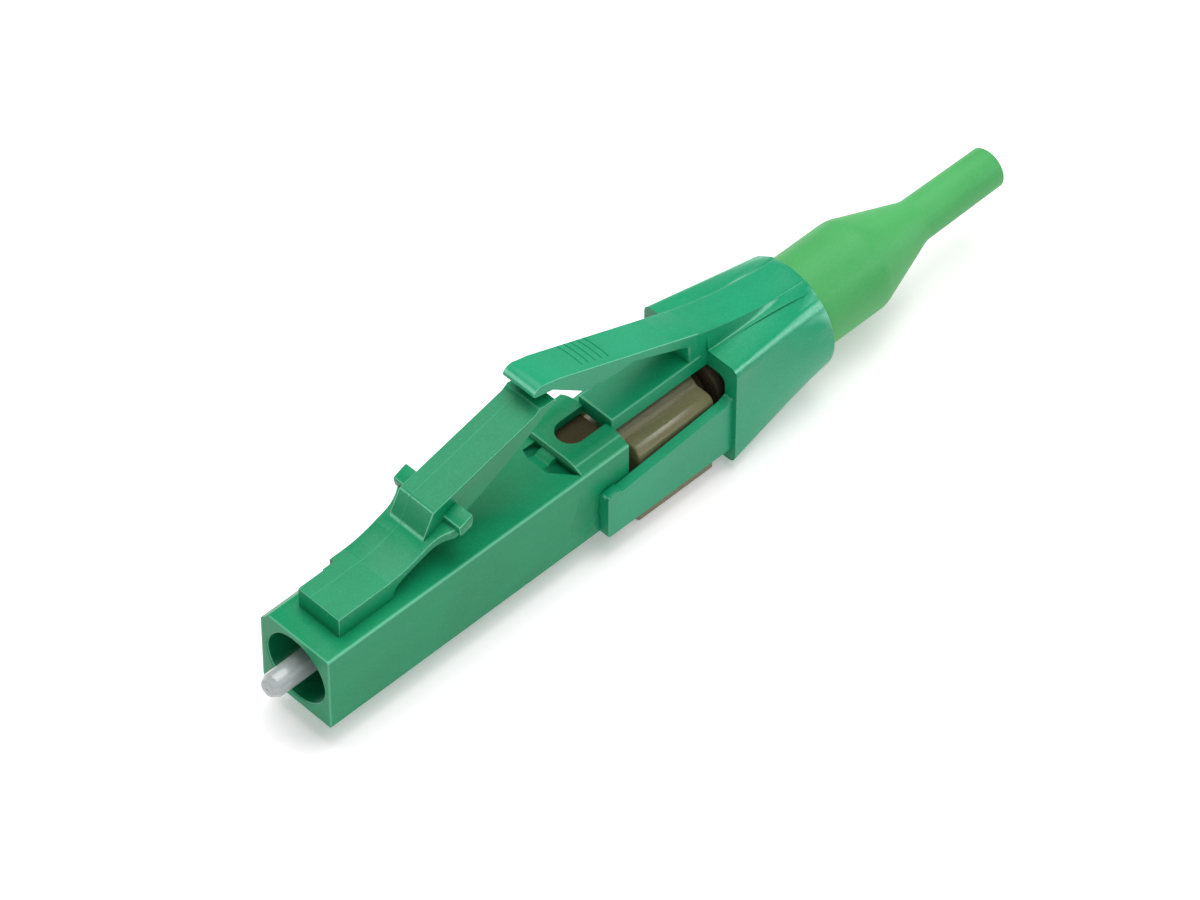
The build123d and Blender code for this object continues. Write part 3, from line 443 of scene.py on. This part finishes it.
# Collar: a second moulding in the same green, slid on from behind and snapped to the
# body by two hooked side arms, with a flat tongue over the cam.
SHADE = (0.002, 0.290, 0.134, 1)
SHADE_DEEP = (0.001, 0.254, 0.110, 1)
SHADE_PALE = (0.055, 0.420, 0.245, 1)
shroud_plastic = surface("shroud_plastic", SHADE, SHADE_DEEP, SHADE_PALE,
                         rough=0.38, grain=0.30, specular=0.28)
back_way, across, height = place(shroud_plastic)
sideways = math_node(shroud_plastic.node_tree, "ABSOLUTE", across)
# Painted highlights along the tongue's two long top edges and its front top edge.
tongue_top = ((height, 2.90, 2.97), (height, 3.06, 3.01), (back_way, 24.6, 24.4))
for tongue_highlight_edge in ((sideways, 0.98, 1.06), (back_way, 18.90, 18.83)):
    overlay(shroud_plastic, within(shroud_plastic, tongue_highlight_edge, *tongue_top), HIGHLIGHT_COLOUR, 0.7)
RIDGE = arc((24.15, 4.66), (27.40, 3.60), (31.55, 3.05), 40)
SHELL_START, SHELL_END = 24.95, 31.55
RIDGE_REACH, RIDGE_SKIN = 1.05, 0.16
RIDGE_FROM, CROWN_FROM, RIDGE_FOOT = 24.5, 25.0, 2.85
LONG_CUTS = (26.2, 27.4, 28.6, 29.8, 30.7)
CROSS_CUTS = (-0.85, -0.6, -0.3, 0.0, 0.3, 0.6, 0.85)
CROWN_EASE = 1.5
COLLAR_EDGE = 0.09 * MM


def ridge_top(x, y):
    """Height in mm of the ridge that the thumb arm runs into: flat in front, crowned behind."""
    after = next((i for i in range(1, len(RIDGE)) if RIDGE[i][0] >= x), len(RIDGE) - 1)
    (x0, z0), (x1, z1) = RIDGE[after - 1], RIDGE[after]
    flat = z0 + (z1 - z0) * (x - x0) / (x1 - x0)
    share = min(max((x - SHELL_START) / (SHELL_END - SHELL_START), 0), 1)
    return flat - (flat - math.sqrt(flat**2 - y**2)) * share**CROWN_EASE


def on_ridge(face):
    """Whether a face is part of the ridge."""
    return all(abs(v.co.y) < RIDGE_REACH * MM and v.co.x > RIDGE_FROM * MM
               and v.co.z > RIDGE_FOOT * MM for v in face.verts)


def crowned(obj):
    """Rounds the back of the ridge over to the collar's own curve."""
    bm = bmesh.new()
    bm.from_mesh(obj.data)
    for cuts, way in ((LONG_CUTS, Vector((1, 0, 0))), (CROSS_CUTS, Vector((0, 1, 0)))):
        for cut in cuts:
            part = {item for f in bm.faces if on_ridge(f) for item in (f, *f.edges, *f.verts)}
            bmesh.ops.bisect_plane(bm, geom=list(part), dist=CUT_REACH,
                                   plane_co=way * cut * MM, plane_no=way)
    for v in bm.verts:
        x, y, z = v.co / MM
        if x > CROWN_FROM and abs(y) < RIDGE_REACH and z > ridge_top(x, 0) - RIDGE_SKIN:
            v.co.z = (z - ridge_top(x, 0) + ridge_top(x, y)) * MM
    bm.to_mesh(obj.data)
    bm.free()
    return obj


collar = crowned(from_bmesh("rear_collar", solid_of("shroud")))
evened(round_edges(collar, COLLAR_EDGE))
finish(collar, shroud_plastic, "plug", "shroud_plastic", "shroud")

# Thumb arm: moulded in one with the collar. Its ridge on the collar runs forward into a
# thin root that bends, a deep foot, fine grip lines on the slope and a rounded tip that
# presses the latch's tail.
THUMB_HALF, THUMB_EDGE = 1.02, 0.09 * MM
THUMB_CUTS = (22.6, 22.8, 23.0, 23.2, 23.4, 23.6, 23.8, 24.0, 24.2, 24.4)
thumb_tip = [(14.05, 8.04)] + arc((13.88, 8.20), (14.23, 8.55), (14.65, 8.53), 6) + [(15.55, 8.26)]
thumb_ridge = [(x, z + SKIN) for x, z in arc((24.15, 4.66), (27.40, 3.60), (31.40, 3.06), 18)]
thumb_root = [(31.40, 2.70), (24.60, 2.70), (23.85 - SKIN, 2.80), (23.80 - SKIN, 3.60),
              (23.83, 3.92), (23.75, 4.08), (23.50, 4.23)]
thumb_foot = arc((20.27, 5.78), (18.36, 5.90), (17.09, 6.20), 6) + [(15.14, 7.76)]
trigger = prism("thumb_arm", thumb_tip + thumb_ridge + thumb_root + thumb_foot,
                -THUMB_HALF - SKIN, THUMB_HALF + SKIN)
settle(round_edges(trigger, THUMB_EDGE, segments=3))
GRIP_LINES, GRIP_PITCH, GRIP_HALF, GRIP_DEPTH = 5, 0.42, 0.045, 0.030
GRIP_START, GRIP_TOP, GRIP_OVER, SLOPE = 17.35, 7.51, 0.2, 0.419
GRIP_NEAR, GRIP_STEP, GRIP_POINTS, GRIP_BOW = -0.62, 0.18, 11, 0.10
ways = [GRIP_NEAR + GRIP_STEP * i for i in range(GRIP_POINTS)]
grip_plan = ([(-GRIP_BOW * v * v - GRIP_HALF, v) for v in ways]
             + [(-GRIP_BOW * v * v + GRIP_HALF, v) for v in reversed(ways)])
for i in range(GRIP_LINES):
    groove = prism("groove", grip_plan, -GRIP_DEPTH, GRIP_OVER, upright=True)
    spot = Vector((GRIP_START + i * GRIP_PITCH, 0, GRIP_TOP - i * GRIP_PITCH * SLOPE)) * MM
    groove.matrix_world = Matrix.Translation(spot) @ Matrix.Rotation(math.atan(SLOPE), 4, "Y")
    combine(trigger, groove, "DIFFERENCE")
sliced(crowned(trigger), THUMB_CUTS)
finish(trigger, shroud_plastic, None, "trigger_plastic", "trigger_arm")
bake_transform(trigger)

# A hollow fillet runs along each side of the ridge, wider towards the back.
FILLET_ROWS, FILLET_STRIPS = 40, 8
FILLET_START, FILLET_END = SHELL_START + 0.02, SHELL_END - 0.04
FILLET_REACH, FILLET_SPREAD = 0.16, 0.42
FILLET_CLEAR, FILLET_DROP, FILLET_SINK = 0.005, 0.07, 0.02
SHELL_TOP, SHELL_R = 3.10, 3.05
skirt = bmesh.new()
rows = []
for i in range(FILLET_ROWS + 1):
    x = FILLET_START + (FILLET_END - FILLET_START) * i / FILLET_ROWS
    share = (x - SHELL_START) / (SHELL_END - SHELL_START)
    top = ridge_top(x, THUMB_HALF) + SKIN - FILLET_DROP * (1 - share)
    row = []
    for side in (-1, 1):
        for k in range(FILLET_STRIPS + 1):
            t = k / FILLET_STRIPS if side > 0 else 1 - k / FILLET_STRIPS
            y = THUMB_HALF + FILLET_CLEAR + (FILLET_REACH + FILLET_SPREAD * share) * t
            shell = SHELL_TOP * (1 - share) + math.sqrt(SHELL_R**2 - (y * share) ** 2) * share
            z = shell + (top - shell) * (1 - t) ** 3 - FILLET_SINK * t
            row.append(skirt.verts.new((x * MM, side * y * MM, z * MM)))
    rows.append(row)
for before, after in zip(rows, rows[1:]):
    for k in (*range(FILLET_STRIPS), *range(FILLET_STRIPS + 1, 2 * FILLET_STRIPS + 1)):
        skirt.faces.new((before[k], after[k], after[k + 1], before[k + 1]))
bmesh.ops.recalc_face_normals(skirt, faces=skirt.faces)
finish(from_bmesh("ridge_fillet", skirt), shroud_plastic, "plug", "shroud_plastic")

# Cam: one moulding in olive plastic, a sleeve round the holder with an off-centre lobe
# that reaches out below the collar's arms. It is turned once, to close the splice halves
# on the fibres.


def dressed(name, node, width, segments=2, angle=50.0):
    """A copy of a node with its moulded or machined radii."""
    return evened(round_edges(from_bmesh(name, solid_of(node)), width, segments, angle))


OLIVE = (0.185, 0.178, 0.088, 1)
OLIVE_DEEP = (0.150, 0.142, 0.066, 1)
OLIVE_PALE = (0.26, 0.25, 0.15, 1)
cam_plastic = surface("cam_plastic", OLIVE, OLIVE_DEEP, OLIVE_PALE, rough=0.30, grain=0.80,
                      flow=0.0, edge=0.0, specular=0.6)
CAM_EDGE = 0.05 * MM
cam = dressed("splice_cam", "cam", CAM_EDGE)
finish(cam, cam_plastic, "ferrule_train", "olive_plastic", "cam")

# Spring retainer and ferrule holder: two mouldings in dark brown filled plastic. The
# holder grips the ferrule and carries the splice. The retainer is a tube pressed into
# the body behind the spring, and its key shows in the notch.
BROWN = (0.062, 0.048, 0.024, 1)
BROWN_DEEP = (0.046, 0.035, 0.016, 1)
BROWN_PALE = (0.09, 0.075, 0.045, 1)
brown_plastic = surface("brown_plastic", BROWN, BROWN_DEEP, BROWN_PALE, rough=0.60, grain=0.45,
                        edge=0.0, specular=0.08)
BROWN_EDGE = 0.04 * MM
retainer = dressed("retainer_key", "spring_retainer", BROWN_EDGE)
finish(retainer, brown_plastic, "plug", "dark_brown_plastic", "spring_retainer")
holder = dressed("holder_barrel", "ferrule_holder", BROWN_EDGE)
finish(holder, brown_plastic, "ferrule_train", "brown_plastic", "ferrule_holder")

# Boot: one moulding in a soft smooth elastomer of a lighter green, pushed on over the
# crimp tube. It keeps the fibre from bending sharply where it leaves the plug.
LIGHT_GREEN = (0.060, 0.368, 0.098, 1)
LIGHT_GREEN_DEEP = (0.046, 0.322, 0.082, 1)
LIGHT_GREEN_PALE = (0.10, 0.43, 0.16, 1)
boot_rubber = surface("boot_rubber", LIGHT_GREEN, LIGHT_GREEN_DEEP, LIGHT_GREEN_PALE,
                      rough=0.55, grain=0.25, flow=0.2, edge=0.1, specular=0.35)
BOOT_EDGE = 0.05 * MM
boot = dressed("tail_boot", "boot", BOOT_EDGE)
finish(boot, boot_rubber, "ferrule_train", "boot_rubber", "boot")

# Crimp tube: a flanged tube of blackened metal inside the boot's front, squeezed on to
# grip the fibre's coating. It is seen only as a dark ring behind the cam.
BLACKENED = (0.095, 0.078, 0.048, 1)
BLACKENED_DEEP = (0.070, 0.056, 0.033, 1)
BLACKENED_PALE = (0.12, 0.10, 0.07, 1)
crimp_metal = surface("crimp_metal", BLACKENED, BLACKENED_DEEP, BLACKENED_PALE,
                      rough=0.55, grain=0.4, edge=0.0)
CRIMP_EDGE = 0.04 * MM
crimp = dressed("crimp_ring", "crimp_tube", CRIMP_EDGE)
finish(crimp, crimp_metal, "ferrule_train", "crimp_metal", "crimp_tube")

# Ferrule: a pin of white zirconia with a fine hole for the fibre, ground to size, with a
# chamfered tip polished at an angle. The holder is moulded round a groove at its back.
ZIRCONIA = (0.34, 0.38, 0.375, 1)
ZIRCONIA_DEEP = (0.30, 0.335, 0.33, 1)
ZIRCONIA_PALE = (0.46, 0.50, 0.53, 1)
ceramic = surface("ceramic", ZIRCONIA, ZIRCONIA_DEEP, ZIRCONIA_PALE, rough=0.18, grain=0.06,
                  flow=0.2, edge=0.3, specular=0.8)
TIP_EDGE = 0.12 * MM
ferrule = dressed("ferrule_pin", "ferrule", TIP_EDGE, segments=4, angle=20.0)
finish(ferrule, ceramic, "ferrule_train", "zirconia", "ferrule")

# Spring: cold-wound steel wire with closed ends, between the holder's flange and the
# retainer. It shortens by the float when the ferrule is pushed back.
BRIGHT = (0.42, 0.42, 0.43, 1)
BRIGHT_DEEP = (0.34, 0.34, 0.35, 1)
BRIGHT_PALE = (0.60, 0.60, 0.62, 1)
steel = surface("steel", BRIGHT, BRIGHT_DEEP, BRIGHT_PALE, rough=0.28, grain=0.15, edge=0.2)
steel.node_tree.nodes["Principled BSDF"].inputs["Metallic"].default_value = 1.0
WIRE_R, TURNS, END_TURNS = 0.13 * MM, 6, 0.75
COIL_FIT, FLOAT = 0.01 * MM, 0.5 * MM
STATIONS, SIDES = 240, 12
spring_front, spring_back = (Vector(end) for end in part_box("spring"))
coil_radius = (spring_back.z - spring_front.z) / 2 - WIRE_R - COIL_FIT
run = spring_back.x - spring_front.x - 2 * WIRE_R
coil = bmesh.new()
rings = []
for i in range(STATIONS + 1):
    turn = TURNS * i / STATIONS
    share = min(max((turn - END_TURNS) / (TURNS - 2 * END_TURNS), 0), 1)
    creep = 2 * WIRE_R * turn / TURNS
    centre_x = spring_front.x + WIRE_R + (run - 4 * WIRE_R) * share + creep + WIRE_R
    outward = Vector((0, math.cos(2 * math.pi * turn), math.sin(2 * math.pi * turn)))
    centre = outward * coil_radius + Vector((centre_x, 0, 0))
    ring = []
    for k in range(SIDES):
        around = 2 * math.pi * k / SIDES
        spoke = outward * math.cos(around) + Vector((math.sin(around), 0, 0))
        ring.append(coil.verts.new(centre + spoke * WIRE_R))
    rings.append(ring)
for before, after in zip(rings, rings[1:]):
    for k in range(SIDES):
        coil.faces.new((before[k], before[(k + 1) % SIDES], after[(k + 1) % SIDES], after[k]))
coil.faces.new(rings[0][::-1])
coil.faces.new(rings[-1])
bmesh.ops.recalc_face_normals(coil, faces=coil.faces)
spring = from_bmesh("coil_spring", coil)
finish(spring, steel, "plug", "spring_steel", "spring")
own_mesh(spring)

# Splice halves, lead-in tube and fibre stub: two mouldings that meet on the fibres'
# groove, a moulded funnel that guides the field fibre in, and a cleaved glass fibre. None
# is seen from outside, so they keep the shapes that they came with.
CREAM, CREAM_DEEP, CREAM_PALE = (0.52, 0.51, 0.46, 1), (0.45, 0.44, 0.39, 1), (0.64, 0.63, 0.58, 1)
CHALK, CHALK_DEEP, CHALK_PALE = (0.60, 0.60, 0.58, 1), (0.52, 0.52, 0.50, 1), (0.70, 0.70, 0.68, 1)
CLEAR, CLEAR_DEEP, CLEAR_PALE = (0.70, 0.74, 0.76, 1), (0.64, 0.68, 0.70, 1), (0.80, 0.84, 0.86, 1)
splice_plastic = surface("splice_plastic", CREAM, CREAM_DEEP, CREAM_PALE, rough=0.42, grain=0.25)
lead_plastic = surface("lead_plastic", CHALK, CHALK_DEEP, CHALK_PALE, rough=0.48, grain=0.25)
glass = surface("glass", CLEAR, CLEAR_DEEP, CLEAR_PALE, rough=0.06, grain=0.03,
                edge=0.1, specular=0.5)
for name, mat in (("splice_upper", splice_plastic), ("splice_lower", splice_plastic),
                  ("lead_in_tube", lead_plastic), ("fibre_stub", glass)):
    nodes[name].data.materials.clear()
    nodes[name].data.materials.append(mat)

# Setting: pale level paper that the plug rests on by its cam, under a large soft box
# overhead and a smaller one in front. The camera looks down on the plug's near side from
# ahead of its mouth, with a long lens.
AZIMUTH, ELEVATION, ROLL = math.radians(-44.504), math.radians(47.979), math.radians(-0.191)
DISTANCE, FOCAL, OFF_RIGHT, OFF_UP = 300.0, 6686.593, -13.656, -9.816
IMAGE_WIDTH, SENSOR = 1200.0, 36.0
back = Vector((math.sin(AZIMUTH) * math.cos(ELEVATION), -math.cos(AZIMUTH) * math.cos(ELEVATION),
               math.sin(ELEVATION)))
level = Vector((math.cos(AZIMUTH), math.sin(AZIMUTH), 0))
rise = back.cross(level)
right = level * math.cos(ROLL) - rise * math.sin(ROLL)
up = rise * math.cos(ROLL) + level * math.sin(ROLL)
seat = (back * DISTANCE - right * OFF_RIGHT - up * OFF_UP) * MM
camera_data = bpy.data.cameras.new("camera")
camera = bpy.data.objects.new("camera", camera_data)
camera.matrix_world = Matrix(((right.x, up.x, back.x, seat.x), (right.y, up.y, back.y, seat.y),
                              (right.z, up.z, back.z, seat.z), (0, 0, 0, 1)))
camera_data.sensor_width = SENSOR
camera_data.lens = FOCAL * SENSOR / IMAGE_WIDTH
camera_data.clip_start = 0.01
bpy.context.scene.collection.objects.link(camera)
bpy.context.scene.camera = camera

PAPER_Z, PAPER_HALF = -3.77 * MM, 3.0
PAPER, PAPER_GLOW, GLOW = (0.88, 0.84, 0.865, 1), (1.0, 0.98, 0.99, 1), 0.27
sheet = bmesh.new()
corners = [(u * PAPER_HALF, v * PAPER_HALF, PAPER_Z) for u, v in ((-1, -1), (1, -1), (1, 1), (-1, 1))]
sheet.faces.new([sheet.verts.new(corner) for corner in corners])
floor = from_bmesh("floor", sheet)
paper = bpy.data.materials.new("paper")
paper.use_nodes = True
paper_shader = paper.node_tree.nodes["Principled BSDF"]
paper_shader.inputs["Base Color"].default_value = PAPER
paper_shader.inputs["Emission Color"].default_value = PAPER_GLOW
paper_shader.inputs["Emission Strength"].default_value = GLOW
paper_shader.inputs["Roughness"].default_value = 0.9
paper_shader.inputs["Specular IOR Level"].default_value = 0.1
floor.data.materials.append(paper)

SKY = 0.42
world = bpy.data.worlds.new("studio")
world.use_nodes = True
world.node_tree.nodes["Background"].inputs["Color"].default_value = (1, 1, 1, 1)
world.node_tree.nodes["Background"].inputs["Strength"].default_value = SKY
bpy.context.scene.world = world
PLUG_MIDDLE = Vector((0.02, 0, 0))


def soft_box(name, spot, side, power):
    """A square lamp aimed at the plug's middle."""
    data = bpy.data.lights.new(name, "AREA")
    data.shape = "SQUARE"
    data.size = side
    data.energy = power
    obj = bpy.data.objects.new(name, data)
    obj.location = spot
    obj.rotation_euler = (PLUG_MIDDLE - Vector(spot)).to_track_quat("-Z", "Y").to_euler()
    bpy.context.scene.collection.objects.link(obj)


soft_box("overhead", (0.08, 0.10, 0.40), side=0.36, power=1.55)
soft_box("front", (0.06, -0.14, 0.40), side=0.26, power=0.66)
bpy.context.scene.view_settings.view_transform = "Standard"
